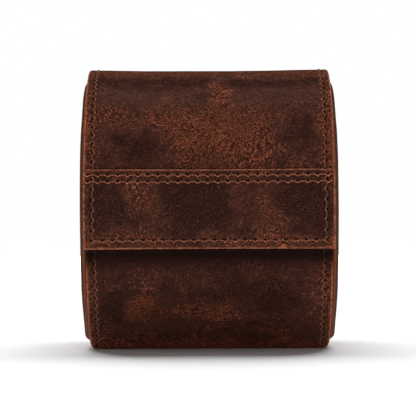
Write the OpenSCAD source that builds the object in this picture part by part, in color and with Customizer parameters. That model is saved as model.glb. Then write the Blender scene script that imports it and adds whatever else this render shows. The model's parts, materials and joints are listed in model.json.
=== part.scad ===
// Travel case for one watch: a round leather case lying on its side, with padded leather cheeks,
// a flap that wraps over the top from a leather hinge at the back, and a pillow for the watch inside.
// The axis of the round runs along X, the front faces -Y, and the origin is the centre of the flat base.

/* [Case] */
// Width of the case wall between its two raw side edges
case_w = 77.8; // [60:0.2:110]
// Radius of the round case over its outer leather
case_r = 46.5; // [40:0.5:60]
// Depth of round taken off below to make the flat base
base_cut = 1.8; // [1:0.1:3]
// Height angle of the leather hinge at the back, above the level of the axis
hinge_angle = 38; // [30:1:50]
// Height of the front wall's top edge above the level of the axis
mouth_rise = 11.2; // [8:0.1:15]

/* [Flap] */
// How far the flap stands past the case wall on each side
flap_overhang = 0.4; // [0:0.1:1.5]
// Drop of the flap's lower edge below the level of the axis
flap_drop = 11.3; // [8:0.1:15]
// Upright height of the leather band sewn on the flap's front
band_h = 25; // [18:0.1:28]
// Thickness of the band
band_t = 1.3; // [0.8:0.1:2]
// Air between the closed flap and the front wall's top edge
flap_gap = 0.4; // [0.3:0.1:1]
// Length of the flat slot of air left across the hinge line
hinge_gap = 0.3; // [0.2:0.05:0.6]

/* [Wall layers] */
// Thickness of the outer leather
leather_t = 1.4; // [1.2:0.1:2]
// Thickness of the stiffening board between leather and lining
board_t = 0.6; // [0.4:0.1:1]
// Thickness of the suede lining
lining_t = 0.5; // [0.3:0.1:1]
// Width of the sewn margin that the board stops short of
sewn_margin = 5; // [4:0.5:8]
// Air left between two glued layers
glue_gap = 0.05; // [0.02:0.01:0.1]

/* [Cheeks] */
// Thickness of the moulded cheek leather
cheek_t = 1.2; // [0.8:0.1:1.6]
// How far the cheek stands out past the case wall's edge
cheek_proud = 2.2; // [1.5:0.1:4]
// Radius of the cheek's rounded shoulder
shoulder_r = 2.4; // [1.8:0.1:4]
// Rise of the padded middle over the shoulder
cheek_crown = 1.3; // [0.5:0.1:3]
// Length of the cheek's flange inside the case wall
flange_l = 5; // [4.6:0.1:8]
// Thickness of the cheek's foam padding at its rim
padding_t = 3; // [2:0.1:5]
// Thickness of the cheek's board
cheek_board_t = 1; // [0.6:0.1:2]
// Air between the cheek's flange and the case wall
cheek_seat = 0.3; // [0.2:0.05:0.5]

/* [Magnets] */
// Diameter of the closure magnets
magnet_d = 8; // [5:0.5:9]
// Thickness of the closure magnets
magnet_t = 1; // [0.6:0.1:1.1]
// Distance between the two magnets of a pair
magnet_pitch = 44; // [20:1:50]
// Air round a magnet in its pocket
magnet_play = 0.1; // [0.05:0.05:0.3]

/* [Pillow] */
// Room between each end of the pillow and the cheek's lining
pillow_side_gap = 2.4; // [1:0.1:8]
// Height of the pillow
pillow_h = 48; // [40:1:52]
// Depth of the pillow from front to back
pillow_d = 56; // [53:1:60]
// Swell of the pillow's sides
pillow_swell = 1.5; // [0.5:0.1:3]
// Crown of the pillow's ends
pillow_crown = 2; // [0.5:0.1:3]
// Radius of the pillow's rounded edges
pillow_edge_r = 5; // [3:0.5:8]
// Thickness of the pillow's suede cover
cover_t = 1; // [0.6:0.1:1.5]
// Air between the pillow and the lining that it lies on
pillow_seat = 0.3; // [0.2:0.05:0.5]

/* [Hidden] */
$fn = 180;

LEATHER = "#4b2c22";
CHEEK_LEATHER = "#5c3a2c";
BOARD = "#8a7a66";
SUEDE = "#6f5c4c";
FOAM = "#d9d2bd";
STEEL = "#b9bcc0";

// Steps of a crown, from its middle to its edge
crown_steps = 8;
// Angle between two points of a rounded edge
edge_step = 15;
// Cutting tools run this far past what they cut
past = 1;

wall_t = leather_t + board_t + lining_t;
axis_h = case_r - base_cut;
mouth_angle = asin(mouth_rise / case_r);
flap_edge_h = axis_h - flap_drop;
reach = 2 * case_r;

// The flap lies on the case wall's line at the hinge and rises from there, far enough to pass
// outside the front wall: its round is larger by flap_rise, with its centre moved away from the hinge.
flap_rise = (wall_t + flap_gap) / (1 + cos(hinge_angle + mouth_angle));
flap_r = case_r + flap_rise;
flap_w = case_w + 2 * flap_overhang;
flap_axis = [0, axis_h] - flap_rise * [cos(hinge_angle), sin(hinge_angle)];
flap_start = hinge_angle + length_angle(hinge_gap, case_r);
flap_end = 180 + asin((flap_axis[1] - flap_edge_h) / flap_r);
band_start = 180 - asin((flap_edge_h + band_h - flap_axis[1]) / (flap_r + band_t));

cheek_r = case_r - wall_t - cheek_seat;
cheek_floor = wall_t + cheek_seat;
cheek_face = case_w / 2 + cheek_proud;
flange_end = case_w / 2 - flange_l;
padding_end = cheek_face - cheek_t - padding_t;
cheek_board_end = padding_end - cheek_board_t;
cheek_lining_end = cheek_board_end - lining_t;

pillow_l = 2 * (cheek_lining_end - pillow_side_gap);
pillow_axis_h = wall_t + pillow_seat + pillow_h / 2;
pillow_half_flat = (pillow_d - pillow_h) / 2;
pillow_seam = pillow_l / 2 - pillow_crown - pillow_edge_r;

// Angle between two points of the flap's cutting outline
flap_step = 20;
board_w = case_w - 2 * sewn_margin;
// Back faces of the magnets, which lie on the linings at the level of the axis
case_magnet_y = -(case_r - leather_t - board_t) - glue_gap;
flap_magnet_y = flap_axis[0] - (flap_r - leather_t - board_t) - glue_gap;

// Angle that a length takes up on a round of radius r
function length_angle(length, r) = length / r * 180 / PI;

// Carries an outline drawn with Y across and Z up along X
module across(w) {
    rotate([90, 0, 90])
        linear_extrude(w, center = true)
            children();
}

// Turns an outline, drawn with its radius across and X up, about the case's axis at a height
module round_axis(h) {
    translate([0, 0, h])
        rotate([0, 90, 0])
            rotate_extrude()
                children();
}

// Outline of the round case with its flat base, drawn in by inset from the outer leather
module case_outline(inset) {
    intersection() {
        translate([0, axis_h])
            circle(case_r - inset);
        translate([-case_r, inset])
            square([2 * case_r, 2 * case_r]);
    }
}

// Sector between two angles above the level at the back, with its point at centre
module sector(centre, from, to) {
    step = (to - from) / 6;
    polygon(concat(
        [centre],
        [for (a = [from : step : to + step / 2]) centre + reach * [cos(a), sin(a)]]
    ));
}

// The case wall's part between two depths under its surface, open at the mouth between two
// margins that are measured along the wall
module case_wall(inset, t, w, hinge_margin = 0, mouth_margin = 0) {
    across(w)
        difference() {
            case_outline(inset);
            case_outline(inset + t);
            sector(
                [0, axis_h],
                hinge_angle - length_angle(hinge_margin, case_r),
                180 - mouth_angle + length_angle(mouth_margin, case_r)
            );
        }
}

// The flap's part between two depths under its surface, short of its ends by the two margins
module flap_wall(inset, t, w, hinge_margin = 0, end_margin = 0) {
    from = flap_start + length_angle(hinge_margin, flap_r);
    to = flap_end - length_angle(end_margin, flap_r);
    across(w)
        intersection() {
            flap_ring(inset, t);
            polygon(concat(
                [[0, axis_h], reach * [cos(from), sin(from)] + [0, axis_h]],
                [for (a = [from + flap_step : flap_step : to - 1]) reach * [cos(a), sin(a)] + flap_axis],
                [reach * [cos(to), sin(to)] + flap_axis, flap_axis]
            ));
        }
}

module flap_ring(inset, t) {
    translate(flap_axis)
        difference() {
            circle(flap_r - inset);
            circle(flap_r - inset - t);
        }
}

// A pair of upright discs that lean against the plane y with their backs and face the front
module magnet_pair(y, d, t) {
    for (x = [-magnet_pitch / 2, magnet_pitch / 2])
        translate([x, y, axis_h])
            rotate([90, 0, 0])
                cylinder(d = d, h = t);
}

// Outer leather of the case wall, with shallow pockets behind for the magnets
module case_leather() {
    color(LEATHER)
        difference() {
            case_wall(0, leather_t, case_w);
            magnet_pair(case_magnet_y + past, magnet_d + 2 * magnet_play, past + magnet_t + magnet_play);
        }
}

// Stiffening board of the case wall, with a hole round each magnet
module case_board() {
    color(BOARD)
        difference() {
            case_wall(leather_t + glue_gap, board_t - glue_gap, board_w, sewn_margin, sewn_margin);
            magnet_pair(case_magnet_y + past, magnet_d + 2 * magnet_play, past + magnet_t + magnet_play);
        }
}

// Suede lining of the case wall, turned in under its edges so that it is thicker past the board
module case_lining() {
    color(SUEDE)
        difference() {
            case_wall(leather_t + glue_gap, board_t + lining_t - glue_gap, case_w);
            case_wall(
                leather_t, board_t + glue_gap, board_w + 2 * glue_gap,
                sewn_margin - glue_gap, sewn_margin - glue_gap
            );
        }
}

// Magnets behind the case's front wall
module case_magnets() {
    color(STEEL)
        magnet_pair(case_magnet_y, magnet_d, magnet_t);
}

// Half outline of a cheek, from its inner end at low to its crowned face, drawn in by inset
function cheek_outline(inset, low) = concat(
    [[0, low], [cheek_r - inset, low]],
    [for (a = [0 : edge_step : 90]) [
        cheek_r - shoulder_r + (shoulder_r - inset) * cos(a),
        cheek_face - shoulder_r + (shoulder_r - inset) * sin(a)
    ]],
    [for (k = [crown_steps - 1 : -1 : 0]) [
        (cheek_r - shoulder_r) * k / crown_steps,
        cheek_face - inset + cheek_crown * (1 - pow(k / crown_steps, 2))
    ]]
);

// A cheek's whole round form, cut flat over the case's flat base
module cheek_form(inset, low) {
    floor_h = cheek_floor + inset;
    intersection() {
        round_axis(axis_h)
            polygon(cheek_outline(inset, low));
        translate([0, -case_r, floor_h])
            cube([case_w, 2 * case_r, 2 * case_r]);
    }
}

// A round plate inside a cheek, between two places along the axis
module cheek_plate(low, high) {
    inset = cheek_t + glue_gap;
    intersection() {
        translate([low, 0, axis_h])
            rotate([0, 90, 0])
                cylinder(r = cheek_r - inset, h = high - low);
        translate([0, -case_r, cheek_floor + inset])
            cube([case_w, 2 * case_r, 2 * case_r]);
    }
}

// Moulded leather of a cheek: crowned face, rounded shoulder and a flange inside the case wall
module cheek_leather() {
    color(CHEEK_LEATHER)
        difference() {
            cheek_form(0, flange_end);
            cheek_form(cheek_t, flange_end - past);
        }
}

module cheek_padding() {
    color(FOAM)
        cheek_form(cheek_t + glue_gap, padding_end);
}

module cheek_board() {
    color(BOARD)
        cheek_plate(cheek_board_end, padding_end - glue_gap);
}

module cheek_lining() {
    color(SUEDE)
        cheek_plate(cheek_lining_end, cheek_board_end - glue_gap);
}

// The right cheek's pieces are drawn, and the left cheek's are their mirror images
module left() {
    mirror([1, 0, 0])
        children();
}

// Outer leather of the flap, with shallow pockets behind for the magnets
module flap_leather() {
    color(LEATHER)
        difference() {
            flap_wall(0, leather_t, flap_w);
            magnet_pair(flap_magnet_y + past, magnet_d + 2 * magnet_play, past + magnet_t + magnet_play);
        }
}

// Stiffening board of the flap, with a hole round each magnet
module flap_board() {
    color(BOARD)
        difference() {
            flap_wall(leather_t + glue_gap, board_t - glue_gap, board_w, sewn_margin, sewn_margin);
            magnet_pair(flap_magnet_y + past, magnet_d + 2 * magnet_play, past + magnet_t + magnet_play);
        }
}

// Suede lining of the flap, turned in under its edges so that it is thicker past the board
module flap_lining() {
    color(SUEDE)
        difference() {
            flap_wall(leather_t + glue_gap, board_t + lining_t - glue_gap, flap_w);
            flap_wall(
                leather_t, board_t + glue_gap, board_w + 2 * glue_gap,
                sewn_margin - glue_gap, sewn_margin - glue_gap
            );
        }
}

// Leather band sewn over the flap's front end, flush with the flap's edges
module flap_front_band() {
    color(LEATHER)
        across(flap_w)
            intersection() {
                flap_ring(-band_t, band_t - glue_gap);
                polygon([
                    flap_axis,
                    flap_axis + reach * [cos(band_start), sin(band_start)],
                    flap_axis + reach * [cos(flap_end), sin(flap_end)]
                ]);
            }
}

// Magnets in the flap, facing those of the case
module flap_magnets() {
    color(STEEL)
        magnet_pair(flap_magnet_y, magnet_d, magnet_t);
}

// Half outline of the pillow on the side of its middle where the axis runs on, drawn in by inset:
// crowned end, rounded edge, swelling side
function pillow_half_outline(inset) = let (end_r = pillow_h / 2 - pillow_swell - pillow_edge_r) concat(
    [for (k = [0 : crown_steps - 1]) [
        end_r * k / crown_steps,
        pillow_l / 2 - inset - pillow_crown * pow(k / crown_steps, 2)
    ]],
    [for (a = [90 : -edge_step : 0]) [
        end_r + (pillow_edge_r - inset) * cos(a),
        pillow_seam + (pillow_edge_r - inset) * sin(a)
    ]],
    [for (k = [crown_steps - 1 : -1 : 0]) [
        pillow_h / 2 - pillow_swell - inset + pillow_swell * (1 - pow(k / crown_steps, 2)),
        pillow_seam * k / crown_steps
    ]]
);

function pillow_outline(inset) = let (half = pillow_half_outline(inset), n = len(half)) concat(
    half,
    [for (k = [n - 2 : -1 : 0]) [half[k][0], -half[k][1]]]
);

// The pillow's oval form: two half rounds with a straight stretch between them
module pillow_form(inset) {
    outline = pillow_outline(inset);
    translate([0, 0, pillow_axis_h]) {
        for (turn = [0, 180])
            rotate([turn, 0, 0])
                translate([0, pillow_half_flat, 0])
                    rotate([0, 90, 0])
                        rotate_extrude(angle = 180)
                            polygon(outline);
        rotate([90, 90, 0])
            linear_extrude(2 * pillow_half_flat, center = true)
                union() {
                    polygon(outline);
                    mirror([1, 0])
                        polygon(outline);
                }
    }
}

// A block across the pillow between two places along the axis
module pillow_slice(low, high) {
    translate([low, -pillow_d, 0])
        cube([high - low, 2 * pillow_d, 2 * pillow_h]);
}

module pillow_core() {
    color(FOAM)
        pillow_form(cover_t + glue_gap);
}

// Sleeve of the pillow's cover, between its two seams
module pillow_cover() {
    color(SUEDE)
        intersection() {
            difference() {
                pillow_form(0);
                pillow_form(cover_t);
            }
            pillow_slice(-pillow_seam, pillow_seam);
        }
}

// End of the pillow's cover, sewn to the sleeve at its seam
module pillow_right_cap() {
    color(SUEDE)
        intersection() {
            difference() {
                pillow_form(0);
                pillow_form(cover_t);
            }
            pillow_slice(pillow_seam + glue_gap, pillow_l);
        }
}

case_leather();
case_board();
case_lining();
case_magnets();
left() cheek_leather();  // left_cheek_leather
left() cheek_padding();  // left_cheek_padding
left() cheek_board();  // left_cheek_board
left() cheek_lining();  // left_cheek_lining
cheek_leather();  // right_cheek_leather
cheek_padding();  // right_cheek_padding
cheek_board();  // right_cheek_board
cheek_lining();  // right_cheek_lining
flap_leather();
flap_board();
flap_lining();
flap_front_band();
flap_magnets();
pillow_core();
pillow_cover();
left() pillow_right_cap();  // pillow_left_cap
pillow_right_cap();
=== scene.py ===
"""Leather travel case for one watch: the leather, stitching, cheeks, linings and pillow over its frame."""

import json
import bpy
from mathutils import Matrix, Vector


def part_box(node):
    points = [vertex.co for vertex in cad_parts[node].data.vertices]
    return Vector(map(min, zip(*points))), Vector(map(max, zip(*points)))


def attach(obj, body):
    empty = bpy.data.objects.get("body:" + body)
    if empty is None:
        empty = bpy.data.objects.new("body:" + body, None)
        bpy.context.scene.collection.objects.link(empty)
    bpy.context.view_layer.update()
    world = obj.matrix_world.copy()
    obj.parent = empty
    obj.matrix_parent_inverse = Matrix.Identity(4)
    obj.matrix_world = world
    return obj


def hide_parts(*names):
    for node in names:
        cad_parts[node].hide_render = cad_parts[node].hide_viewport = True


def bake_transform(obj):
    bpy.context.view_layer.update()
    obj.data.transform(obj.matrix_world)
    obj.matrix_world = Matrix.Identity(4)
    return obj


bl_info = {
    "name": "Watch travel case",
    "version": (1, 0, 0),
    "blender": (4, 5, 0),
    "location": "View3D > Sidebar > Watch Case",
    "description": "A round leather travel case with a wrap-over flap, padded cheeks and a watch pillow",
    "category": "Object",
}

from functools import cache
from typing import NamedTuple

import bmesh
import bpy
import numpy as np
from bpy.props import FloatProperty, FloatVectorProperty, PointerProperty
from mathutils import Vector

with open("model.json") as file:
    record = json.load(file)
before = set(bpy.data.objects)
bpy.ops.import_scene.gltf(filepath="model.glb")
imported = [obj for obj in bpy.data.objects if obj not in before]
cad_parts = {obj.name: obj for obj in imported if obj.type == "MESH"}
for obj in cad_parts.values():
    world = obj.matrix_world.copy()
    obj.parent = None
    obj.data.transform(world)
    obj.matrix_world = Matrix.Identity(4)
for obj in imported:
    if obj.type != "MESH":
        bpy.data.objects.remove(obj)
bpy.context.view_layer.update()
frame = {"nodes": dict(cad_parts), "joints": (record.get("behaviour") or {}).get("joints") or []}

MM = 0.001
# Surface patterns are laid out in decimetres, so that a wall spans about one unit
PATTERN_UNIT = 0.1
# Faces that meet at more than this are shaded as a sharp edge
SHARP = np.radians(50)

HINGE_JOINT = next(j for j in frame["joints"] if j["name"] == "flap_hinge")
HINGE = np.array(HINGE_JOINT["pos_m"], float)[1:]
CASE_LOW, CASE_HIGH = np.array(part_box("case_leather"), float)
FLAP_LOW, FLAP_HIGH = np.array(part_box("flap_leather"), float)
BAND_LOW, BAND_HIGH = np.array(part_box("flap_front_band"), float)
CHEEK_LOW, CHEEK_HIGH = np.array(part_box("right_cheek_leather"), float)

CASE_R = CASE_HIGH[1]
AXIS_H = HINGE[1] - np.sqrt(CASE_R**2 - HINGE[0] ** 2)
CASE_W = CASE_HIGH[0] - CASE_LOW[0]
FLAP_W = FLAP_HIGH[0] - FLAP_LOW[0]
BAND_THICK = FLAP_LOW[1] - BAND_LOW[1]
HINGE_ANGLE = np.arctan2(HINGE[1] - AXIS_H, HINGE[0])
# The flap's round is larger than the case's, with its centre moved away from the hinge
FLAP_RISE = (-FLAP_LOW[1] - CASE_R) / (1 + np.cos(HINGE_ANGLE))
FLAP_R = CASE_R + FLAP_RISE
FLAP_AXIS = np.array([0, AXIS_H]) - FLAP_RISE * np.array([np.cos(HINGE_ANGLE), np.sin(HINGE_ANGLE)])


# Shapes


def smoothstep(t):
    """Leads from 0 to 1 with soft ends."""
    return t * t * (3 - 2 * t)


def bell(distance, width):
    """A bell curve: 1 at no distance, falling away over the width."""
    return np.exp(-((np.asarray(distance) / width) ** 2))


def round_off(distance, width, depth):
    """How far a rim's face falls at a distance from its edge: a quarter of an oval, width by depth."""
    t = 1 - np.clip(distance / width, 0, 1)
    return depth * (1 - np.sqrt(np.maximum(0, 1 - t * t)))


def full_turn(count):
    """Evenly spaced angles once round."""
    return np.linspace(0, 2 * np.pi, count, endpoint=False)


def unit(vectors):
    """The vectors with their lengths made 1."""
    return vectors / np.linalg.norm(vectors, axis=1)[:, None]


def smooth_noise(u, v, size, seed):
    """Soft random hills of about one size, from -1 to 1: random values on a square net, joined smoothly."""
    side = 64
    net = np.random.default_rng(seed).uniform(-1, 1, (side, side))
    a, b = np.asarray(u) / size, np.asarray(v) / size
    i, j = np.floor(a).astype(int), np.floor(b).astype(int)
    across, along = smoothstep(a - i), smoothstep(b - j)

    def joined(row):
        return net[i % side, row % side] * (1 - across) + net[(i + 1) % side, row % side] * across

    return joined(j) * (1 - along) + joined(j + 1) * along


def hills(u, v, *layers):
    """Soft noise in layers, each with a height, a size in millimetres and a seed."""
    return sum(height * smooth_noise(u, v, size * MM, seed) for height, size, seed in layers)


def graded(start, end, coarse, spots):
    """Places from start to end, a coarse step apart, closer near each spot (place, reach, fine step)."""
    samples, growth = 4001, 0.3
    fine = np.linspace(start, end, samples)
    step = np.full(samples, coarse)
    for place, reach, close in spots:
        away = np.maximum(0, np.abs(fine - place) - reach)
        step = np.minimum(step, close + growth * away)
    count = np.concatenate([[0], np.cumsum((fine[1] - fine[0]) * 2 / (step[1:] + step[:-1]))])
    whole = max(2, int(np.ceil(count[-1])))
    return np.interp(np.linspace(0, count[-1], whole + 1), count, fine)


class WrapLine:
    """Side outline of the outer leather, from the front wall's top edge under the base and up the back to
    the hinge, where the length along it is 0, and on over the top to the flap's lower edge."""

    def __init__(self, mouth_rise):
        base_angle = np.arcsin(AXIS_H / CASE_R)
        flat = 2 * CASE_R * np.cos(base_angle)
        back = CASE_R * (HINGE_ANGLE + base_angle)
        mouth_angle = np.arcsin(mouth_rise / CASE_R)
        self.mouth = -(back + flat + CASE_R * (base_angle + mouth_angle))
        end_angle = np.pi + np.arcsin((FLAP_AXIS[1] - FLAP_LOW[2]) / FLAP_R)
        self.end = FLAP_R * (end_angle - HINGE_ANGLE)
        self.base_back, self.base_front = -back, -back - flat
        # The line is kept as points, a step in millimetres apart, and runs on a little past both ends
        step, run = 0.1, 8 * MM
        s = np.arange(self.mouth - run, self.end + run, step * MM)
        angle = np.select(
            [s > 0, s > -back],
            [HINGE_ANGLE + s / FLAP_R, HINGE_ANGLE + s / CASE_R],
            base_angle - np.pi + (s + back + flat) / CASE_R,
        )
        on_flap = (s > 0)[:, None]
        centre = np.where(on_flap, FLAP_AXIS, [0, AXIS_H])
        radius = np.where(on_flap, FLAP_R, CASE_R)
        points = centre + radius * np.stack([np.cos(angle), np.sin(angle)], 1)
        on_base = (s <= -back) & (s >= -back - flat)
        points[on_base, 0] = s[on_base] + back + flat / 2
        points[on_base, 1] = 0
        # The leather turns softly, over about a millimetre, where the round meets the flat base
        softness, reach = 1.0, 30
        weight = bell(np.arange(-reach, reach + 1) * step, softness)
        weight /= weight.sum()
        inner = slice(reach, -reach)
        for k in range(2):
            points[inner, k] = np.convolve(points[:, k], weight, "same")[inner]
        points[:, 1] = np.maximum(points[:, 1], 0)
        tangent = unit(np.gradient(points, axis=0))
        self.s, self.points = s, points
        self.normals = np.stack([tangent[:, 1], -tangent[:, 0]], 1)

    def at(self, s):
        """The points and outward normals at lengths along the line."""
        return self.look_up(self.points, s), self.look_up(self.normals, s)

    def look_up(self, table, s):
        """A table's two columns at lengths along the line."""
        return np.stack([np.interp(s, self.s, table[:, k]) for k in range(2)], -1)


def wall_point(x, s, h):
    """Point at x across the wall, s along its outline and h out from its outer face."""
    x, s, h = np.broadcast_arrays(x, s, h)
    point, normal = wrap_line().at(s)
    point = point + normal * h[..., None]
    return np.stack([x, point[..., 0], point[..., 1]], -1)


def wall_relief(x, s):
    """How far the wall's leather stands off its true round: drawn in a little at the middle of its width,
    and gently uneven."""
    saddle = -0.45 * MM * (1 - (2 * x / CASE_W) ** 2)
    return saddle + hills(x, s, (0.10 * MM, 17, 3), (0.05 * MM, 7, 4))


def base_rest(s):
    """1 on the flat base, falling to 0 a little way past it, where the leather is free of the table."""
    line, run = wrap_line(), 6 * MM
    past = np.maximum(line.base_front - s, s - line.base_back)
    return np.clip(1 - np.maximum(past, 0) / run, 0, 1)


def add_mesh(name, points, faces, finish=None, uv=None, values=None):
    """A mesh object with smooth faces, a material, a pattern map per point and named values per point."""
    mesh = bpy.data.meshes.new(name)
    faces = faces.tolist() if isinstance(faces, np.ndarray) else faces
    mesh.from_pydata(np.asarray(points).reshape(-1, 3).tolist(), [], faces)
    mesh.polygons.foreach_set("use_smooth", np.ones(len(mesh.polygons), bool))
    if uv is not None:
        corner = np.empty(len(mesh.loops), np.int64)
        mesh.loops.foreach_get("vertex_index", corner)
        layer = mesh.uv_layers.new(name="pattern")
        layer.data.foreach_set("uv", np.asarray(uv, np.float32)[corner].ravel())
    for key, value in (values or {}).items():
        attribute = mesh.attributes.new(key, "FLOAT", "POINT")
        attribute.data.foreach_set("value", np.asarray(value, np.float32).ravel())
    mesh.set_sharp_from_angle(angle=SHARP)
    mesh.update()
    if finish:
        mesh.materials.append(finish)
    piece = bpy.data.objects.new(name, mesh)
    bpy.context.scene.collection.objects.link(piece)
    return piece


def grid_faces(index, closed_first=False):
    """Four-sided faces over a grid of point numbers, which may close on itself along its first side."""
    if closed_first:
        index = np.concatenate([index, index[:1]])
    return np.stack([index[:-1, :-1], index[1:, :-1], index[1:, 1:], index[:-1, 1:]], -1).reshape(-1, 4)


def sheet_shell(name, finish, xs, ss, place, values, thickness, bevel, free_ends):
    """A closed sheet: an outer and an inner face over the same places, which meet at half the thickness on
    the border. The faces fall away by a quarter oval to both sides and to a free end. At an end that isn't
    free they close in the last step alone, which is too short to see. place(x, s, h) gives a point, and
    values(x, s, rim) the named values at a distance from the nearest side or free end."""
    x, s = np.meshgrid(xs, ss, indexing="ij")
    rim = np.minimum(x - xs[0], xs[-1] - x)
    if free_ends[0]:
        rim = np.minimum(rim, s - ss[0])
    if free_ends[1]:
        rim = np.minimum(rim, ss[-1] - s)
    within = np.zeros(x.shape, bool)
    within[1:-1, 1:-1] = True
    half, inner_bevel = thickness / 2, 0.35 * bevel
    outer_h = np.where(within, -round_off(rim, bevel, half), -half)
    inner_h = np.where(within, round_off(rim, inner_bevel, half) - thickness, -half)
    outer = np.arange(x.size).reshape(x.shape)
    inner = outer.copy()
    inner[within] = x.size + np.arange(np.count_nonzero(within))
    points = np.concatenate([place(x, s, outer_h).reshape(-1, 3), place(x, s, inner_h)[within]])
    faces = np.concatenate([grid_faces(outer), grid_faces(inner)[:, ::-1]])
    pattern = np.stack([x, s], -1) / PATTERN_UNIT
    uv = np.concatenate([pattern.reshape(-1, 2), pattern[within]])
    named = {key: np.concatenate([v.ravel(), v[within]]) for key, v in values(x, s, rim).items()}
    named["inside"] = np.arange(len(points)) >= x.size
    return add_mesh(name, points, faces, finish, uv, named)


class StitchRow(NamedTuple):
    """A row of stitches: where its thread starts and ends along the row, the place of one of its holes,
    and the distance between holes."""

    start: float
    end: float
    anchor: float
    pitch: float

    def from_hole(self, along):
        """Signed distance to the nearest hole."""
        return ((along - self.anchor) / self.pitch + 0.5) % 1 * self.pitch - 0.5 * self.pitch

    def near(self, along, across):
        """How strongly a place lies at a needle hole of the row, and how strongly it lies on the row."""
        width = 0.9 * MM
        return bell(self.from_hole(along), 0.55 * width) * bell(across, 0.5 * width), bell(across, width)

    def holes(self):
        """Places of the holes. One that lies past an end by a rounding error still counts."""
        error = 0.02
        first = np.ceil((self.start - self.anchor) / self.pitch - error)
        last = np.floor((self.end - self.anchor) / self.pitch + error)
        return self.anchor + self.pitch * np.arange(first, last + 1)

    def thread(self):
        """Places along the thread."""
        to_a_stitch = 9
        count = int(np.ceil((self.end - self.start) / self.pitch * to_a_stitch))
        return np.linspace(self.start, self.end, count + 1)


# Materials


class Shader:
    """A material's node tree, with short calls for making and joining its nodes."""

    def __init__(self, name):
        self.material = bpy.data.materials.new(name)
        self.material.use_nodes = True
        self.tree = self.material.node_tree

    def give(self, socket, value):
        """Join a node's output to a socket or set the socket's value, which is opaque if it's a colour."""
        if isinstance(value, bpy.types.NodeSocket):
            self.tree.links.new(value, socket)
        else:
            socket.default_value = (*value, 1.0) if socket.type == "RGBA" else value

    def give_all(self, node, inputs):
        """Give each input its value, with _ for a space in its name."""
        for key, value in inputs.items():
            self.give(node.inputs[key.replace("_", " ")], value)

    def node(self, kind, settings=None, **inputs):
        made = self.tree.nodes.new(kind)
        for key, value in (settings or {}).items():
            setattr(made, key, value)
        self.give_all(made, inputs)
        return made

    def pattern(self):
        return self.node("ShaderNodeUVMap", {"uv_map": "pattern"}).outputs["UV"]

    def in_space(self):
        return self.node("ShaderNodeTexCoord").outputs["Object"]

    def value(self, name):
        return self.node("ShaderNodeAttribute", {"attribute_name": name}).outputs["Fac"]

    def noise(self, vector, scale, detail=4.0, roughness=0.55, distortion=0.0):
        made = self.node(
            "ShaderNodeTexNoise",
            Vector=vector, Scale=scale, Detail=detail, Roughness=roughness, Distortion=distortion,
        )
        return made.outputs["Fac"]

    def remap(self, value, low, high, to_low=0.0, to_high=1.0):
        made = self.node(
            "ShaderNodeMapRange", {"interpolation_type": "SMOOTHSTEP"},
            Value=value, From_Min=low, From_Max=high, To_Min=to_low, To_Max=to_high,
        )
        return made.outputs["Result"]

    def math(self, operation, a, b=0.0):
        made = self.node("ShaderNodeMath", {"operation": operation})
        self.give(made.inputs[0], a)
        self.give(made.inputs[1], b)
        return made.outputs["Value"]

    def times(self, a, b):
        return self.math("MULTIPLY", a, b)

    def plus(self, a, b):
        return self.math("ADD", a, b)

    def mix(self, factor, a, b, kind="RGBA"):
        return self.node("ShaderNodeMix", {"data_type": kind}, Factor=factor, A=a, B=b).outputs["Result"]

    def layered(self, ground, *layers):
        """A ground colour with layers over it, each a factor and a colour."""
        for factor, colour in layers:
            ground = self.mix(factor, ground, colour)
        return ground

    def turned(self, vector, angle, scale):
        made = self.node(
            "ShaderNodeMapping", {"vector_type": "TEXTURE"},
            Vector=vector, Rotation=(0.0, 0.0, angle), Scale=tuple(1 / side for side in scale),
        )
        return made.outputs["Vector"]

    def creased(self, vector, scale):
        """Smooth hills parted by thin valleys: how far a noise is from its middle value."""
        away = self.math("ABSOLUTE", self.math("SUBTRACT", self.noise(vector, scale, 1.5, 0.55), 0.5))
        return self.remap(away, 0.0, 0.17)

    def bump(self, height, distance, strength):
        made = self.node("ShaderNodeBump", Height=height, Distance=distance, Strength=strength)
        return made.outputs["Normal"]

    def finish(self, **inputs):
        self.give_all(self.tree.nodes["Principled BSDF"], inputs)
        return self.material


def material(name, maker, *more):
    """The material of that name, made by its maker the first time."""
    return bpy.data.materials.get(name) or maker(Shader(name), *more)


def grain(m, uv):
    """Height of the leather's grain from 0 to 1: thin short creases that change direction from place to
    place, over small pebbles. The pattern is bent by slow noise, so that no direction runs straight."""
    bend = m.node("ShaderNodeTexNoise", Vector=uv, Scale=5.0, Detail=1.0).outputs["Color"]
    bent = m.node("ShaderNodeVectorMath", {"operation": "MULTIPLY_ADD"})
    for socket, value in zip(bent.inputs, (bend, (0.16, 0.16, 0.0), uv)):
        m.give(socket, value)
    bent = bent.outputs["Vector"]
    falling = m.creased(m.turned(bent, 0.65, (1.0, 0.42, 1.0)), 185.0)
    rising = m.creased(m.turned(bent, -0.55, (0.42, 1.0, 1.0)), 185.0)
    creases = m.mix(m.remap(m.noise(uv, 11.0, 2.0), 0.40, 0.60), falling, rising, "FLOAT")
    pebbles = m.noise(bent, 210.0, 3.0, 0.6)
    return m.plus(m.times(creases, 0.5), m.times(pebbles, 0.5))


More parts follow.
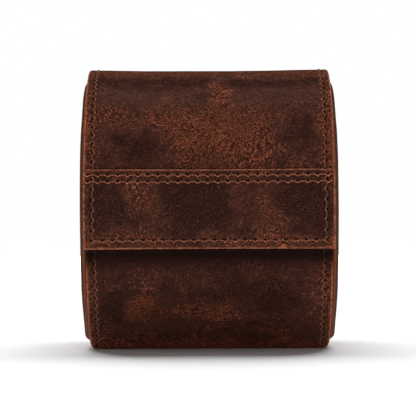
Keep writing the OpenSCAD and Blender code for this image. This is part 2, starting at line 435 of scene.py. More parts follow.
def leather_material(m):
    """Waxed brown leather: dark ground, redder and more open in grain where it was bent and rubbed and
    where light is painted in, with a grey painted sheen, pale raw edges, an orange-brown tinge on the
    cheeks' rims, and painted shade."""
    colours, uv = case_colours(), m.pattern()
    broad = m.noise(uv, 7.0, 3.0, 0.55, 0.3)
    cloud = m.noise(uv, 26.0, 5.0, 0.62, 0.5)
    height = grain(m, uv)
    fine = m.noise(uv, 420.0, 2.0, 0.6)
    tone = m.plus(m.times(broad, 0.5), m.times(cloud, 0.5))
    # The rub value lifts the tone where the leather was rubbed, and low on the wall where light is painted
    tone = m.plus(tone, m.times(m.value("rub"), 0.24))
    open_grain = m.remap(tone, 0.40, 0.70, 0.22, 1.0)
    ridges = m.times(m.remap(height, 0.44, 0.78), open_grain)
    valleys = m.times(m.remap(height, 0.48, 0.26), open_grain)
    sheen_haze = m.remap(cloud, 0.35, 0.6, 0.3, 0.9)
    worn = m.remap(m.noise(uv, 70.0, 4.0, 0.65), 0.34, 0.62, 0.15, 1.0)
    ground = m.layered(
        colours.leather_dark,
        (m.remap(tone, 0.30, 0.58), colours.leather),
        (m.remap(tone, 0.50, 0.88), colours.leather_rubbed_and_lit),
        (m.times(ridges, 0.66), colours.leather_ridge),
        (m.times(valleys, 0.92), colours.crease_and_shade),
        (m.remap(fine, 0.52, 0.80, 0.0, 0.30), colours.leather_ridge),
        (m.remap(fine, 0.48, 0.20, 0.0, 0.60), colours.crease_and_shade),
        # Painted sheen: the grey shine of the light on the flap's crown and on the cheeks' faces
        (m.times(m.value("bloom"), sheen_haze), colours.leather_painted_sheen),
        (m.times(m.value("edge"), worn), colours.raw_edge),
        (m.value("inside"), colours.flesh_side),
        # Painted shade: the flap's shadow on the wall, a shadow along the band's top edge and shade in the
        # cheeks' joints; on the band it also draws the tooled line
        (m.value("shade"), colours.crease_and_shade),
        (m.times(m.value("warm"), 0.85), colours.lining_edge),
    )
    relief = m.plus(m.times(height, open_grain), m.times(fine, 0.10))
    return m.finish(
        Base_Color=ground,
        Roughness=m.remap(height, 0.35, 0.7, 0.60, 0.44),
        Normal=m.bump(relief, 0.7 * MM, 0.9),
        Specular_IOR_Level=0.025,
    )


def thread_material(m):
    """Waxed linen thread: two plies that twist round each other, with darker gaps between them."""
    colours, uv = case_colours(), m.pattern()
    diagonal = {"bands_direction": "DIAGONAL"}
    ply = m.node("ShaderNodeTexWave", diagonal, Vector=uv, Scale=55.0, Distortion=0.6).outputs["Fac"]
    return m.finish(
        Base_Color=m.layered(
            colours.thread_dark,
            (m.remap(ply, 0.1, 0.7), colours.thread),
            (m.remap(m.noise(uv, 40.0, 3.0), 0.35, 0.7, 0.0, 0.6), colours.thread_dark),
            # Painted shade on the thread, in the near-black of a hole
            (m.value("shade"), colours.hole),
        ),
        Roughness=0.55,
        Normal=m.bump(ply, 0.12 * MM, 0.8),
        Specular_IOR_Level=0.15,
    )


def hole_shade_material(m):
    """Painted shade for the dark inside of a needle hole."""
    colours = case_colours()
    shade = m.remap(m.noise(m.pattern(), 120.0, 2.0), 0.3, 0.7)
    colour = m.mix(0.15, colours.hole, m.mix(shade, colours.hole, colours.leather_dark))
    return m.finish(Base_Color=colour, Roughness=0.9, Specular_IOR_Level=0.1)


def suede_material(m, mapped=True):
    """Brushed suede: a soft nap in cloudy strokes with a sheen, laid on the pattern map or, for a piece
    that has none, in space."""
    colours = case_colours()
    uv = m.pattern() if mapped else m.turned(m.in_space(), 0.0, (1 / PATTERN_UNIT,) * 3)
    stroke = m.noise(uv, 9.0, 4.0, 0.6, 1.2)
    nap = m.noise(uv, 330.0, 2.0, 0.7)
    return m.finish(
        Base_Color=m.layered(
            colours.suede,
            (m.remap(stroke, 0.30, 0.75, 0.1, 0.65), colours.suede_light),
            (m.remap(nap, 0.3, 0.75, 0.0, 0.35), colours.suede_light),
            (m.value("edge"), colours.lining_edge),
        ),
        Roughness=0.92,
        Normal=m.bump(nap, 0.15 * MM, 0.6),
        Sheen_Weight=0.35,
        Sheen_Roughness=0.45,
        Specular_IOR_Level=0.2,
    )


def plain_material(m, dark, light, scale, roughness, metal):
    """A mottled finish for parts that lie inside."""
    mottle = m.noise(m.in_space(), scale, 4.0, 0.6)
    return m.finish(
        Base_Color=m.mix(m.remap(mottle, 0.3, 0.7), dark, light),
        Roughness=roughness,
        Metallic=metal,
        Normal=m.bump(mottle, 0.2 * MM, 0.3),
    )


def floor_material(m):
    """Matt white paper."""
    return m.finish(Base_Color=(0.96, 0.96, 0.96), Roughness=0.8, Specular_IOR_Level=0.1)


# Settings


def colour(name, description, default):
    return FloatVectorProperty(
        name=name, description=description, default=default, subtype="COLOR", min=0.0, max=1.0
    )


def length(name, description, default):
    return FloatProperty(name=name, description=description, default=default, unit="LENGTH", precision=5)


def number(name, description, default, subtype="NONE"):
    return FloatProperty(name=name, description=description, default=default, subtype=subtype)


class WatchCaseSizes(bpy.types.PropertyGroup):
    """Sizes of the leather and the stitching, in metres."""

    mouth_rise: length("Mouth height", "Height of the front wall's top edge over the axis", 11.2 * MM)
    leather: length("Leather", "Thickness of the outer leather", 1.4 * MM)
    lining: length("Lining", "Thickness of the lining with its turned-in edge", 1.1 * MM)
    bevel: length("Edge bevel", "Width of the bevelled raw edge", 1.05 * MM)
    pitch: length("Stitch pitch", "Distance between two stitches", 3.12 * MM)
    inset: length("Stitch inset", "Distance of a side row from the raw edge", 2.75 * MM)
    thread: length("Thread", "Diameter of the sewing thread", 0.40 * MM)
    upper_row: length("First band row", "Distance of the first row below the band's top", 1.95 * MM)
    second_row: length("Second band row", "Distance of the second row below the band's top", 4.05 * MM)
    lower_row: length("Lower row", "Distance of the lowest row above the flap's edge", 2.8 * MM)
    hinge_run: length("Hinge run", "Length of leather that bends on each side of the hinge", 7 * MM)


class WatchCaseColours(bpy.types.PropertyGroup):
    """Colours of the leather, the thread and the suede."""

    leather: colour("Leather", "Brown ground of the leather", (0.066, 0.0245, 0.0165))
    leather_dark: colour("Dark leather", "Darkest parts of the leather", (0.0215, 0.0086, 0.0062))
    leather_rubbed_and_lit: colour("Rubbed leather", "Redder leather where it was rubbed", (0.225, 0.060, 0.029))
    # Also the colour of the painted light low on the wall
    leather_ridge: colour("Grain ridges", "Lighter ridges of the grain", (0.43, 0.130, 0.070))
    # Painted sheen: the grey of the light's shine on the leather
    leather_painted_sheen: colour("Bloom", "Grey wax bloom", (0.085, 0.040, 0.030))
    raw_edge: colour("Raw edge", "Pale cut edge of the leather", (0.52, 0.18, 0.10))
    flesh_side: colour("Flesh side", "Inner face of the outer leather", (0.16, 0.085, 0.05))
    lining_edge: colour("Lining edge", "Orange-brown edge of the lining", (0.19, 0.055, 0.022))
    # Also the colour of painted shade on the leather
    crease_and_shade: colour("Creases", "Dark valleys of the grain", (0.010, 0.0038, 0.0028))
    # Painted shade: the near-black inside of a hole, also laid on the thread as its shade
    hole: colour("Hole", "Inside of a needle hole", (0.004, 0.0025, 0.002))
    thread: colour("Thread", "Terracotta thread", (0.66, 0.230, 0.125))
    thread_dark: colour("Dark thread", "Gaps between the plies", (0.20, 0.060, 0.032))
    suede: colour("Suede", "Lining and pillow suede", (0.16, 0.105, 0.072))
    suede_light: colour("Brushed suede", "Suede brushed the light way", (0.26, 0.18, 0.125))


class WatchCaseStage(bpy.types.PropertyGroup):
    """The camera and the light."""

    distance: length("Camera distance", "From the case's axis to the camera", 0.775)
    height: length("Camera height", "Height of the camera over the table", 0.04605)
    aside: length("Camera offset", "How far the camera stands to the left", 0.0004)
    roll: number("Camera roll", "Lean of the picture", 0.0047, "ANGLE")
    tilt: number("Overhead tilt", "How far the overhead light leans to the front", -0.42, "ANGLE")
    overhead: number("Overhead light", "Strength of the overhead light", 3.62)
    fill: number("Front fill", "Power of the front light", 8.0)
    side_fill: number("Side fill", "Power of the side and back lights", 6.0)
    room: number("Room light", "Light from the room around", 0.05)
    lens: number("Lens", "Focal length in millimetres on a 36 mm sensor", 201.5)


def case_sizes():
    return bpy.context.scene.watch_case_sizes


def case_colours():
    return bpy.context.scene.watch_case_colours


# Places on the wall


line_for = cache(WrapLine)


def wrap_line():
    """The wall's side outline, worked out once for each mouth height."""
    return line_for(case_sizes().mouth_rise)


def flap_split():
    """Where the flap's pieces begin along the outline: a whole number of half stitches below the hinge."""
    return -3.5 * case_sizes().pitch


def band_top():
    """Length along the outline of the band's top edge."""
    height = BAND_HIGH[2] - FLAP_AXIS[1]
    return FLAP_R * (np.pi - np.arcsin(height / (FLAP_R + BAND_THICK)) - HINGE_ANGLE)


def row_place(width):
    """How far the side rows of a sheet lie from its middle."""
    return width / 2 - case_sizes().inset


def row_across(half):
    """A row across the width with a hole at each end."""
    count = round(2 * half / case_sizes().pitch)
    return StitchRow(-half, half, half, 2 * half / count)


def stitch_rows():
    """Every row by name. The rows across the width share the side rows' places as their end holes."""
    sizes, line, split = case_sizes(), wrap_line(), flap_split()
    pitch, top, lower = sizes.pitch, band_top(), line.end - sizes.lower_row
    mouth, flap_x = line.mouth + sizes.inset, row_place(FLAP_W)
    # The band's upper rows run on to its side edges, and the side rows stop short of its top edge
    past, short, over, first_hole = 1.9 * MM, 0.3 * MM, 0.5 * MM, 1.8 * MM
    return {
        "case_side": StitchRow(mouth, split, mouth, pitch),
        "flap_side": StitchRow(split, top - short, lower, pitch),
        "band_side": StitchRow(top + over, lower, lower, pitch),
        "inner_side": StitchRow(split, lower, lower, pitch),
        "band_top": StitchRow(-flap_x - past, flap_x + past, -flap_x + first_hole, pitch),
        "band_bottom": row_across(flap_x),
        "mouth": row_across(row_place(CASE_W)),
    }


def painted_flap_shadow(s):
    """How dark the wall is along its outline: a painted shadow of the closed flap, a dark band across the
    front at the flap's edge.
    """
    strength, below, width = 0.97, 2 * MM, 5 * MM
    turn = np.arcsin(case_sizes().mouth_rise / CASE_R) + np.arcsin((AXIS_H - FLAP_LOW[2]) / CASE_R)
    past_edge = s - wrap_line().mouth - CASE_R * turn
    return strength * bell(past_edge - below, width)


def pale_edge(rim):
    """How pale the leather's raw edge is at a distance from it, strongest on the bevel."""
    bevel = case_sizes().bevel
    return 0.75 * bell(np.maximum(rim - 0.2 * bevel, 0), 0.3 * bevel)


def drawn_in(hole, seam, furrow=0.12 * MM, dent=0.20 * MM):
    """How far a seam draws the leather in: a shallow furrow with a dent at each hole."""
    return furrow * seam + dent * hole


def rubs_and_painted_light(x, s, marks, width):
    """Soft rub marks added up, with a rubbed strip between each side row and its edge; one mark on the wall
    is painted light instead. A mark is a bell with a place across and along, two half sizes, a lean and a
    strength; slow noise bends its outline."""
    across = x / MM + hills(x, s, (2.6, 6, 41), (1.2, 2.6, 42))
    along = s / MM + hills(x, s, (2.6, 6, 43), (1.2, 2.6, 44))
    strip_middle, strip_width = 1.1 * MM, 1.2 * MM
    total = 0.75 * bell(width / 2 - np.abs(x) - strip_middle, strip_width)
    for mark_x, mark_s, wide, long, lean, strength in marks:
        c, d = np.cos(np.radians(lean)), np.sin(np.radians(lean))
        u, v = across - mark_x, along - mark_s
        total = total + strength * bell(u * c + v * d, wide) * bell(v * c - u * d, long)
    return total


# Rub marks, and one mark of painted light on the wall, in millimetres: across, along from the hinge, half
# width, half length, lean in degrees, strength
EVERYWHERE = 400
FLAP_MARKS = [
    (0, 55, EVERYWHERE, 5, 0, 0.75), (0, 66, EVERYWHERE, 3.6, 0, -0.75), (3, 72, 2.6, 10, 8, 1.3),
    (8, 93, 17, 11, 15, 0.85), (-18, 89, 6, 3, -15, 0.8), (-28, 83, 5, 3, 0, 0.3),
    (-25, 96, 9, 7, 0, -1.0), (30, 90, 5, 9, 10, -1.0), (18, 66, 10, 3, 0, -0.4),
    (-8, 88, 4, 6, 30, 0.5), (35.5, 95, 1.6, 12, 0, 0.5), (-34, 80, 2, 14, 0, 0.3),
    (0, 90, EVERYWHERE, 14, 0, 0.25),
]
BAND_MARKS = [
    (-20, 116, 3.6, 9, -6, 1.1), (-34, 118, 3, 9, 0, -0.5), (-3, 117, 9, 10, 0, -0.8),
    (9, 116, 3, 8, 12, 0.6), (18.5, 118, 4.6, 10, -20, 1.15), (31, 118, 4.6, 9, 0, -0.9),
    (0, 127.5, EVERYWHERE, 2, 0, 0.8), (0, 105.5, EVERYWHERE, 1.6, 0, 0.45),
    (0, 117, EVERYWHERE, 9, 0, -0.75),
]
CASE_MARKS = [
    (-22, -146, 3.4, 10, 28, 1.4), (-6, -141.5, 14, 3.8, 0, 1.2), (8, -141, 8, 2.4, 6, 0.7),
    (-30, -142, 4, 8, 20, -1.1), (-28, -134, 5, 4, 0, -0.4), (6, -150, 14, 5, 0, -0.15),
    (19, -132, 9, 1.0, 20, 0.8), (33, -157, 3, 4, 0, 0.4), (33.5, -144, 2.4, 9, 0, 0.4),
    # Painted light: the full-width mark at -118 mm brightens the wall low down, as light thrown up from the
    # floor
    (0, -118, EVERYWHERE, 8, 0, 1.9), (22, -146, 6, 4, -20, -0.3), (14, -128, 12, 3, 0, -0.5),
    (8, -149, EVERYWHERE, 9, 0, -0.45),
]


def edge_spot(place, step=0.06 * MM):
    """Where a grid is finest, for a border."""
    return place, 0.1 * MM, step


def joint_spot(place):
    """Where a grid is finest for a border that meets the next sheet: its last step alone."""
    return place, 0, 0.05 * MM


def row_spot(place, step, reach=1.2 * MM):
    """Where a grid is finer, for a row of stitches."""
    return place, reach, step


def places_across(width, coarse, fine):
    """Places across a sewn sheet, closer together at its side edges and along its side rows."""
    half, row_x = width / 2, row_place(width)
    spots = [edge_spot(-half), edge_spot(half), row_spot(-row_x, fine), row_spot(row_x, fine)]
    return graded(-half, half, coarse, spots)


def flap_width(x, s):
    """The flap is as wide as the case wall where it begins, and grows to its own width past the hinge."""
    run = 20 * MM
    grown = smoothstep(np.clip(s / run, 0, 1))
    return x * (CASE_W + (FLAP_W - CASE_W) * grown) / FLAP_W


def bend_at_hinge(piece):
    """Bake the piece's placing into its mesh; it is not blended from the case to the flap."""
    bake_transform(piece)


# Pieces


def make_wall():
    """Make the case wall's outer leather."""
    sizes, line, split = case_sizes(), wrap_line(), flap_split()
    row_x, row = row_place(CASE_W), stitch_rows()["case_side"]
    xs = places_across(CASE_W, 1.3 * MM, 0.28 * MM)
    spots = [edge_spot(line.mouth), row_spot(line.mouth + sizes.inset, 0.3 * MM), joint_spot(split)]
    ss = graded(line.mouth, split, 0.55 * MM, spots)

    def place(x, s, h):
        on_base = base_rest(s)
        sunk = drawn_in(*row.near(s, np.abs(x) - row_x))
        relief = (wall_relief(x, s) - sunk) * (1 - on_base)
        # Along the base the leather's side edges roll up off the table
        rolled = on_base * round_off(CASE_W / 2 - np.abs(x), 2.5 * MM, 1.3 * MM)
        return wall_point(x, s, h + relief - rolled)

    def values(x, s, rim):
        seam = row.near(s, np.abs(x) - row_x)[1]
        # The rub value holds the wall's rubs and the painted light low on the wall
        rub = rubs_and_painted_light(x, s, CASE_MARKS, CASE_W) + 0.15 * seam
        # The shade is the painted shadow of the closed flap
        return {"rub": rub, "edge": pale_edge(rim), "shade": painted_flap_shadow(s)}

    piece = sheet_shell(
        "case_outer_leather", material("pull_up_leather", leather_material),
        xs, ss, place, values, sizes.leather, sizes.bevel, (True, False),
    )
    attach(piece, "case")
    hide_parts("case_leather")


def make_flap():
    """Make the flap's outer leather, which runs on from a little below the hinge."""
    sizes, line, split = case_sizes(), wrap_line(), flap_split()
    row_x, row, under_band = row_place(FLAP_W), stitch_rows()["flap_side"], band_top()
    xs = places_across(FLAP_W, 1.3 * MM, 0.28 * MM)
    ss = graded(split, line.end, 0.5 * MM, [joint_spot(split), edge_spot(line.end)])

    def place(x, s, h):
        # Below the band's top edge the seams show on the band instead
        free = np.clip((under_band - s) / MM, 0, 1)
        sunk = drawn_in(*row.near(s, np.abs(x) - row_x)) * free
        return wall_point(flap_width(x, s), s, h + wall_relief(x, s) - sunk)

    def values(x, s, rim):
        seam = row.near(s, np.abs(x) - row_x)[1]
        rub = rubs_and_painted_light(x, s, FLAP_MARKS, FLAP_W) + 0.15 * seam
        # A painted sheen lies across the crown where the leather isn't rubbed, and painted shadow along the
        # band's top edge
        bloom = bell(s - 76 * MM, 6 * MM) * (0.55 + hills(x, s, (0.45, 12, 8)))
        shade = 0.9 * bell(np.maximum(0, under_band - 0.1 * MM - s), 0.45 * MM)
        bloom = bloom * np.clip(1 - rub, 0, 1)
        return {"rub": rub, "edge": pale_edge(rim), "bloom": bloom, "shade": shade}

    piece = sheet_shell(
        "flap_outer_leather", material("pull_up_leather", leather_material),
        xs, ss, place, values, sizes.leather, sizes.bevel, (False, True),
    )
    bend_at_hinge(piece)
    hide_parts("flap_leather")


def make_band():
    """Make the leather band on the flap's front."""
    sizes, top, end, rows = case_sizes(), band_top(), wrap_line().end, stitch_rows()
    row_x = row_place(FLAP_W)
    upper, second, lowest = top + sizes.upper_row, top + sizes.second_row, end - sizes.lower_row
    across = ((upper, rows["band_top"]), (second, rows["band_top"]), (lowest, rows["band_bottom"]))
    xs = places_across(FLAP_W, 0.5 * MM, 0.3 * MM)
    spots = [edge_spot(top), edge_spot(end)]
    spots += [row_spot(place, 0.28 * MM, 0.9 * MM) for place in (upper, second, lowest)]
    ss = graded(top, end, 0.6 * MM, spots)

    def seams(x, s):
        above_lowest = np.clip((lowest - s) / MM, 0, 1)
        hole, seam = (near * above_lowest for near in rows["band_side"].near(s, np.abs(x) - row_x))
        for place, row in across:
            hole_too, seam_too = row.near(x, s - place)
            hole, seam = np.maximum(hole, hole_too), np.maximum(seam, seam_too)
        return hole, seam

    def place(x, s, h):
        sunk = drawn_in(*seams(x, s), 0.14 * MM, 0.22 * MM)
        puffed = 0.15 * MM * bell(s - (second + lowest) / 2, 6 * MM)
        return wall_point(x, s, h + BAND_THICK + wall_relief(x, s) + puffed - sunk)

    def values(x, s, rim):
        rub = rubs_and_painted_light(x, s, BAND_MARKS, FLAP_W) + 0.3 * seams(x, s)[1]
        from_side, from_end = np.minimum(x - xs[0], xs[-1] - x), np.minimum(s - top, end - s)
        # The top and bottom ends are paler than the sides: partly pale cut edge, partly a painted highlight
        # where they catch the light
        edge = np.maximum(pale_edge(from_side), 1.3 * bell(from_end, 0.42 * MM))
        # A fine tooled line runs below the top edge
        tooled = 0.5 * bell(s - top - 0.95 * MM, 0.2 * MM)
        return {"rub": rub, "edge": edge, "shade": tooled}

    piece = sheet_shell(
        "front_band", material("pull_up_leather", leather_material),
        xs, ss, place, values, BAND_THICK, sizes.bevel, (True, True),
    )
    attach(piece, "flap")
    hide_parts("flap_front_band")


def make_linings():
    """Make the suede linings of the wall and of the flap."""
    sizes, line, split = case_sizes(), wrap_line(), flap_split()
    for name, node, half, start, end, free in (
        ("case_suede_lining", "case_lining", CASE_W / 2, line.mouth, split, (True, False)),
        ("flap_suede_lining", "flap_lining", FLAP_W / 2, split, line.end, (False, True)),
    ):
        on_flap = node == "flap_lining"
        xs = graded(-half, half, 2.5 * MM, [edge_spot(-half, 0.08 * MM), edge_spot(half, 0.08 * MM)])
        ss = graded(start, end, 1.0 * MM, [edge_spot(start, 0.05 * MM), edge_spot(end, 0.05 * MM)])

        def place(x, s, h):
            relief = 0.3 * wall_relief(x, s) * (1 - base_rest(s))
            return wall_point(flap_width(x, s) if on_flap else x, s, h - sizes.leather + relief)

        def values(x, s, rim):
            return {"edge": bell(rim, 1.2 * MM)}

        suede = material("brushed_suede", suede_material)
        piece = sheet_shell(name, suede, xs, ss, place, values, sizes.lining, 0.5 * MM, free)
        if on_flap:
            bend_at_hinge(piece)
        else:
            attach(piece, "case")
        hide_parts(node)


class Seam(NamedTuple):
    """A row of stitches on a face of the leather: its place across, whether it runs upright, the side its
    thread bows to, the face's height, and out, which is -1 on the wall's inner face."""

    row: StitchRow
    spot: float
    upright: bool
    turn: int
    base: float
    out: int = 1

    def on_wall(self, along, aside):
        """Places along the row and aside of it, as places across and along the wall."""
        return (aside, along) if self.upright else (along, aside)

    def point(self, x, s, lift):
        """Point on the wall that stands off the seam's face by the lift."""
        return wall_point(x, s, self.base + wall_relief(x, s) + self.out * lift)

    def thread(self, radius):
        """A running thread: a round tube that bows aside and dips into the leather at each hole. Gives its
        points, faces, pattern map and shade."""
        sides, bow, dip = 6, 0.55 * MM, 0.1 * MM
        raised, darkness = (0.0, 0.62) if self.upright else (0.3, 0.4)
        run = self.row.thread()
        near = bell(self.row.from_hole(run), 0.44 * MM)
        x, s = self.on_wall(run, self.spot + self.turn * bow * near)
        lift = radius * raised - dip * near
        # A thread that runs on to a side edge follows the edge's bevel down
        over_edge = np.maximum(0, np.abs(x) - FLAP_W / 2 + 1.1 * MM)
        lift = lift - over_edge**2 / (2.2 * MM)
        centre = self.point(x, s, lift)
        normal = (self.point(x, s, lift + MM) - centre) / MM
        sideways = np.cross(unit(np.gradient(centre, axis=0)), normal)
        around = full_turn(sides)
        ring = np.cos(around)[:, None] * sideways[:, None] + np.sin(around)[:, None] * normal[:, None]
        points = (centre[:, None] + radius * ring).reshape(-1, 3)
        index = np.arange(len(points)).reshape(run.size, sides)
        faces = grid_faces(index.T, closed_first=True).tolist()
        faces += [index[0][::-1].tolist(), index[-1].tolist()]
        # The pattern map turns once round the thread and runs on with it
        twist = np.broadcast_arrays(around / (2 * np.pi), (run - run[0])[:, None] / (2 * MM))
        uv = 0.02 * np.stack(twist, -1).reshape(-1, 2)
        # Painted shade: the thread is darker away from its holes, most on the upright rows, which lie lower
        shade = darkness * (1 - near)
        # Threads on the outer face take the painted shadow of the closed flap too
        if self.base == 0:
            shade = np.maximum(shade, painted_flap_shadow(s))
        return points, faces, uv, np.repeat(shade, sides)

    def holes(self):
        """Dark oval dents of painted shade at the holes, slightly slanted, each with a ring of corners and
        a middle.
        Gives their points, faces, pattern map and shade."""
        corners, long, wide, slant = 10, 0.64 * MM, 0.42 * MM, 0.35
        # They lie a little off the row, and just clear of the leather so that they show
        off_row, clear = 0.06 * MM, 0.04 * MM
        u, v = long * np.cos(full_turn(corners)), wide * np.sin(full_turn(corners))
        along = self.row.holes()[:, None] + u * np.cos(slant) - v * np.sin(slant)
        aside = self.spot + self.turn * (u * np.sin(slant) + v * np.cos(slant) - off_row)
        ring = self.point(*self.on_wall(along, np.broadcast_to(aside, along.shape)), clear)
        points = np.concatenate([ring, ring.mean(1, keepdims=True)], 1)
        first = np.arange(corners)
        fan = np.stack([first, (first + 1) % corners, np.full(corners, corners)], 1)
        faces = np.arange(len(points))[:, None, None] * (corners + 1) + fan
        points = points.reshape(-1, 3)
        uv = points[:, [0, 2]] / PATTERN_UNIT
        return points, faces.reshape(-1, 3).tolist(), uv, np.zeros(len(points))


def join_parts(body, name, parts, finish):
    """All parts of one kind on one body, as one piece."""
    points, faces, uv, shade = zip(*parts)
    starts = np.cumsum([0, *map(len, points)]).tolist()
    faces = [[corner + start for corner in face] for start, part in zip(starts, faces) for face in part]
    points = np.concatenate(points)
    # Under the base the thread is pressed flat against the table
    points[:, 2] = np.maximum(points[:, 2], 0)
    values = {"shade": np.concatenate(shade)}
    piece = add_mesh(f"{body}_{name}", points, faces, finish, np.concatenate(uv), values)
    if body == "flap":
        bend_at_hinge(piece)
    else:
        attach(piece, body)


def make_stitching():
    """Sew every row of stitches."""
    sizes, line, rows = case_sizes(), wrap_line(), stitch_rows()
    case_x, flap_x, inner = row_place(CASE_W), row_place(FLAP_W), -(sizes.leather + sizes.lining)
    top, lower, mouth = band_top(), line.end - sizes.lower_row, line.mouth + sizes.inset
    case, flap = [], []
    for side in (-1, 1):
        case.append(Seam(rows["case_side"], side * case_x, True, -side, 0))
        flap.append(Seam(rows["flap_side"], side * flap_x, True, -side, 0))
        flap.append(Seam(rows["band_side"], side * flap_x, True, -side, BAND_THICK))
        flap.append(Seam(rows["inner_side"], side * flap_x, True, -side, inner, -1))
    for place, row in (
        (top + sizes.upper_row, "band_top"),
        (top + sizes.second_row, "band_top"),
        (lower, "band_bottom"),
    ):
        flap.append(Seam(rows[row], place, False, 1, BAND_THICK))
        flap.append(Seam(rows["band_bottom"], place, False, 1, inner, -1))
    case.append(Seam(rows["mouth"], mouth, False, -1, 0))
    case.append(Seam(rows["mouth"], mouth, False, -1, inner, -1))
    # The needle holes are dark ovals of painted shade
    linen, dark = material("waxed_thread", thread_material), material("needle_hole_shade", hole_shade_material)
    for body, seams in (("case", case), ("flap", flap)):
        join_parts(body, "thread", [seam.thread(sizes.thread / 2) for seam in seams], linen)
        join_parts(body, "painted_hole_shade", [seam.holes() for seam in seams], dark)


def cheek_outline(radius, face, crown, shoulder, inset):
    """Half outline from the middle of the crowned face over the shoulder to the flange's end."""
    rim, bend = radius - shoulder, shoulder - inset
    f = np.linspace(0, 1, 40)
    dome = np.stack([rim * f, face - inset + crown * (1 - f * f)], 1)
    a = np.radians(np.linspace(90, 0, 31))[1:]
    turn = np.stack([rim + bend * np.cos(a), face - shoulder + bend * np.sin(a)], 1)
    drop = np.linspace(face - shoulder, CHEEK_LOW[0], 8)[1:]
    wall = np.stack([np.full(drop.shape, radius - inset), drop], 1)
    return np.concatenate([dome, turn, wall])


def without_repeats(face):
    """The corners of a face without those that are the same as the one before."""
    return [point for k, point in enumerate(face) if point != face[k - 1]]


def drop_loose(piece):
    """Take away the points that no face uses."""
    work = bmesh.new()
    work.from_mesh(piece.data)
    bmesh.ops.delete(work, geom=[v for v in work.verts if not v.link_faces], context="VERTS")
    work.to_mesh(piece.data)
    work.free()


def make_cheeks():
    """Make the padded cheeks."""
    radius, floor = CHEEK_HIGH[1], CHEEK_LOW[2]
    crown, shoulder, skin, uneven_room = 1.3 * MM, 2.4 * MM, 1.2 * MM, 0.3 * MM
    face = CHEEK_HIGH[0] - crown - uneven_room
    # The profile runs from the middle of the face to the flange's end, and back on the inner side
    outer, inner = (cheek_outline(radius, face, crown, shoulder, inset) for inset in (0, skin))
    profile = np.concatenate([outer, inner[::-1]])
    r, across = profile.T[:, None]
    angle = full_turn(360)[:, None]
    # Below the axis the round is drawn in, most at its rim, so that it ends at the cheek's flat base
    down = np.maximum(-np.sin(angle), 1e-6)
    room = np.minimum(1, (AXIS_H - floor) / (radius * down))
    shaped = r * (1 - (1 - room) * (r / radius) ** 2)
    y, z = shaped * np.cos(angle), AXIS_H + shaped * np.sin(angle)
    on_face = np.clip((across - (face - shoulder)) / shoulder, 0, 1)
    x = across + hills(y, z, (0.10 * MM, 11, 21), (0.06 * MM, 5, 22)) * on_face
    index = np.arange(y.size).reshape(y.shape)
    # Both ends of the profile lie on the axis, where all angles share one point
    index[:, 0] = index[0, 0]
    index[:, -1] = index[0, -1]
    faces = grid_faces(index, closed_first=True)
    # In millimetres from the wall: painted shade in the joint, a warm rim, a dark line and a strip of
    # painted sheen
    from_wall = (across - CASE_W / 2) / MM + 0 * y
    joint_shade_and_line = 0.95 * bell(from_wall - 0.1, 0.32) + 0.6 * bell(from_wall - 1.2, 0.14)
    values = {
        "rub": 0.1 + hills(y, z, (0.9, 15, 23), (0.5, 6, 24)),
        "warm": bell(np.maximum(0, np.abs(from_wall - 0.75) - 0.2), 0.25),
        "bloom": 0.95 * np.clip((from_wall - 1.2) / 0.3, 0, 1) * np.clip((2.2 - from_wall) / 0.5, 0.1, 1),
        "shade": np.minimum(joint_shade_and_line, 1),
    }
    # The leather's pattern is unrolled along the profile, and starts elsewhere on each cheek
    unrolled = np.concatenate([[0], np.cumsum(np.linalg.norm(np.diff(profile, axis=0), axis=1))])
    for side, name in ((-1, "left"), (1, "right")):
        points = np.stack([side * x, y, z], -1)
        kept = [without_repeats(corners) for corners in faces[:, ::side].tolist()]
        uv = np.stack([unrolled * np.cos(angle), unrolled * np.sin(angle) + 0.3 * side], -1)
        hide = material("cheek_hide", leather_material)
        piece = add_mesh(f"{name}_cheek_skin", points, kept, hide, uv.reshape(-1, 2) / PATTERN_UNIT, values)
        drop_loose(piece)
        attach(piece, "case")
        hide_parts(f"{name}_cheek_leather")


def mesh_points(mesh):
    """The points of a mesh as an array."""
    flat = np.empty(len(mesh.vertices) * 3)
    mesh.vertices.foreach_get("co", flat)
    return flat.reshape(-1, 3)


def bake_modifiers(piece):
    """Give the piece the mesh that its modifiers make, and take them off."""
    shown = piece.evaluated_get(bpy.context.evaluated_depsgraph_get())
    piece.data = bpy.data.meshes.new_from_object(shown)
    piece.modifiers.clear()


def blow_up(piece, voxel, pressure, reach):
    """Swell a closed piece as sewn cloth over its filling, with no point moved further than the reach."""
    remesh = piece.modifiers.new("even_mesh", "REMESH")
    remesh.mode = "VOXEL"
    remesh.voxel_size = voxel
    bake_modifiers(piece)
    before, frames = mesh_points(piece.data), 20
    cloth = piece.modifiers.new("filling", "CLOTH").settings
    cloth.use_pressure = True
    cloth.uniform_pressure_force = pressure
    cloth.effector_weights.gravity = 0
    for step in range(1, frames + 1):
        bpy.context.scene.frame_set(step)
    bake_modifiers(piece)
    bpy.context.scene.frame_set(1)
    moved = mesh_points(piece.data) - before
    way = np.linalg.norm(moved, axis=1)[:, None]
    moved *= np.minimum(1, reach / np.maximum(way, 1e-9))
    piece.data.vertices.foreach_set("co", (before + moved).ravel())


